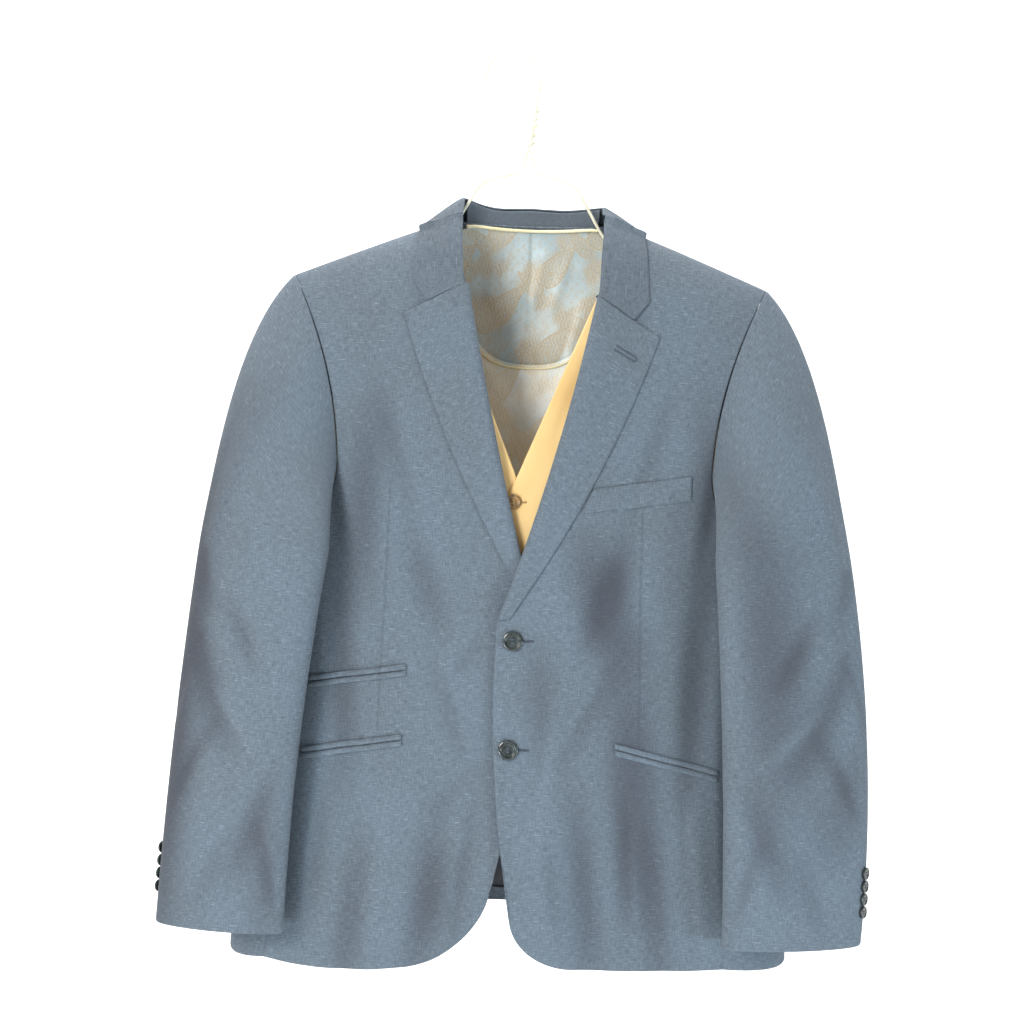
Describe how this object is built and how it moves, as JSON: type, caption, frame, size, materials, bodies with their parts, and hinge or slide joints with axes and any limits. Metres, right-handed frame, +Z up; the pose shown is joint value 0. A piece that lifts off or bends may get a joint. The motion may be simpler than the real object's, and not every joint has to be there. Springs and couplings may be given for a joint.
{
  "type": "blazer and waistcoat set on a wire hanger",
  "caption": "Single-breasted notch-lapel blazer over a waistcoat, hanging open at neck, cuffs and hem from a coated wire hanger.",
  "frame": {"origin": "under the top of the hanger's hook, where it bears on a rail", "axes": "+Z up; the garment's front faces -Y; the wearer's left is at +X"},
  "size_m": [0.7087, 0.1669, 0.9303],
  "materials": {
    "suit_cloth": "dry slubbed blue-grey suiting, linen and wool look",
    "paisley_lining": "silvery satin with a woven gold-beige paisley",
    "waistcoat_satin": "silvery satin with a softer paisley",
    "cream_piping": "satin bias piping",
    "tan_cloth": "smooth golden-tan cotton",
    "dark_horn": "dark green-black horn, polished rim",
    "brown_horn": "mottled brown horn",
    "coated_wire": "smooth cream coating"
  },
  "bodies": {
    "root": {"jacket_front_left": "suit_cloth", "jacket_front_right": "suit_cloth", "jacket_side_left": "suit_cloth", "jacket_side_right": "suit_cloth", "jacket_back_left": "suit_cloth", "jacket_back_right": "suit_cloth", "sleeve_top_left": "suit_cloth", "sleeve_top_right": "suit_cloth", "sleeve_under_left": "suit_cloth", "sleeve_under_right": "suit_cloth", "lapel_left": "suit_cloth", "lapel_right": "suit_cloth", "collar_fall": "suit_cloth", "collar_stand": "suit_cloth", "breast_welt": "suit_cloth", "ticket_jet_upper": "suit_cloth", "ticket_jet_lower": "suit_cloth", "hip_right_jet_upper": "suit_cloth", "hip_right_jet_lower": "suit_cloth", "hip_left_jet_upper": "suit_cloth", "hip_left_jet_lower": "suit_cloth", "jacket_back_lining": "paisley_lining", "neck_piping": "cream_piping", "waistcoat_neck_piping": "cream_piping", "waistcoat_front_left": "tan_cloth", "waistcoat_front_right": "tan_cloth", "waistcoat_back": "waistcoat_satin", "hanger_hook": "coated_wire", "hanger_arms": "coated_wire", "front_button_1": "dark_horn", "front_button_2": "dark_horn", "cuff_button_left_1": "dark_horn", "cuff_button_left_2": "dark_horn", "cuff_button_left_3": "dark_horn", "cuff_button_left_4": "dark_horn", "cuff_button_right_1": "dark_horn", "cuff_button_right_2": "dark_horn", "cuff_button_right_3": "dark_horn", "cuff_button_right_4": "dark_horn", "waistcoat_button_1": "brown_horn", "waistcoat_button_2": "brown_horn", "waistcoat_button_3": "brown_horn", "waistcoat_button_4": "brown_horn", "waistcoat_button_5": "brown_horn"}
  },
  "joints": []
}
